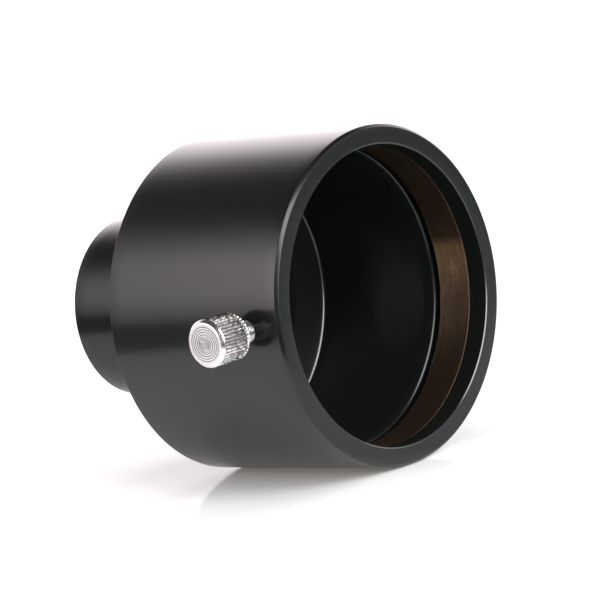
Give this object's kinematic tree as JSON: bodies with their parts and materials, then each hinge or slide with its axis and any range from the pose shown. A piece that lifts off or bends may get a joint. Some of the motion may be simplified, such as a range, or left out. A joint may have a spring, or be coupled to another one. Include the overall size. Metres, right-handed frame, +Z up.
{
  "type": "barlow lens",
  "caption": "Short black Barlow lens with a slim nosepiece, a wide eyepiece socket lined by a split brass compression ring, and a knurled metal thumbscrew.",
  "frame": {"origin": "on the optical axis, in the plane of the hub's rear face where the nosepiece leaves the receiver", "axes": "+X along the optical axis out of the eyepiece socket, -Y along the thumbscrew towards its knob, +Z up with the part lying on its side"},
  "size_m": [0.0598, 0.0678, 0.058],
  "materials": {
    "black_anodised": "satin black anodised, fine turned",
    "black_fittings": "matt black anodised",
    "coated_glass": "polished, anti-reflection coated",
    "brass": "brushed, slightly browned",
    "nickel_plate": "bright nickel plate over a straight knurl",
    "bright_steel": "turned, rolled thread"
  },
  "bodies": {
    "receiver": {"receiver_body": "black_anodised", "nosepiece": "black_anodised", "lens_cell": "black_fittings", "lens_retaining_ring": "black_fittings", "cell_lock_ring": "black_fittings", "biconcave_element": "coated_glass", "meniscus_element": "coated_glass"},
    "clamp_ring": {"compression_ring": "brass"},
    "thumbscrew": {"thumbscrew_knob": "nickel_plate", "thumbscrew_stud": "bright_steel"}
  },
  "joints": [
    {"name": "ring_press", "type": "slide", "parent": "receiver", "child": "clamp_ring", "axis": [0, 1, 0], "range_m": [0, 0.00035]},
    {"name": "thumbscrew_turn", "type": "hinge", "parent": "clamp_ring", "child": "thumbscrew", "pos_m": [0.0321, -0.0388, 0], "axis": [0, 1, 0], "range_deg": [0, 180]}
  ],
  "couplings": [
    {"joint": "thumbscrew_turn", "follows": "ring_press", "rad_per_m": 8976}
  ]
}
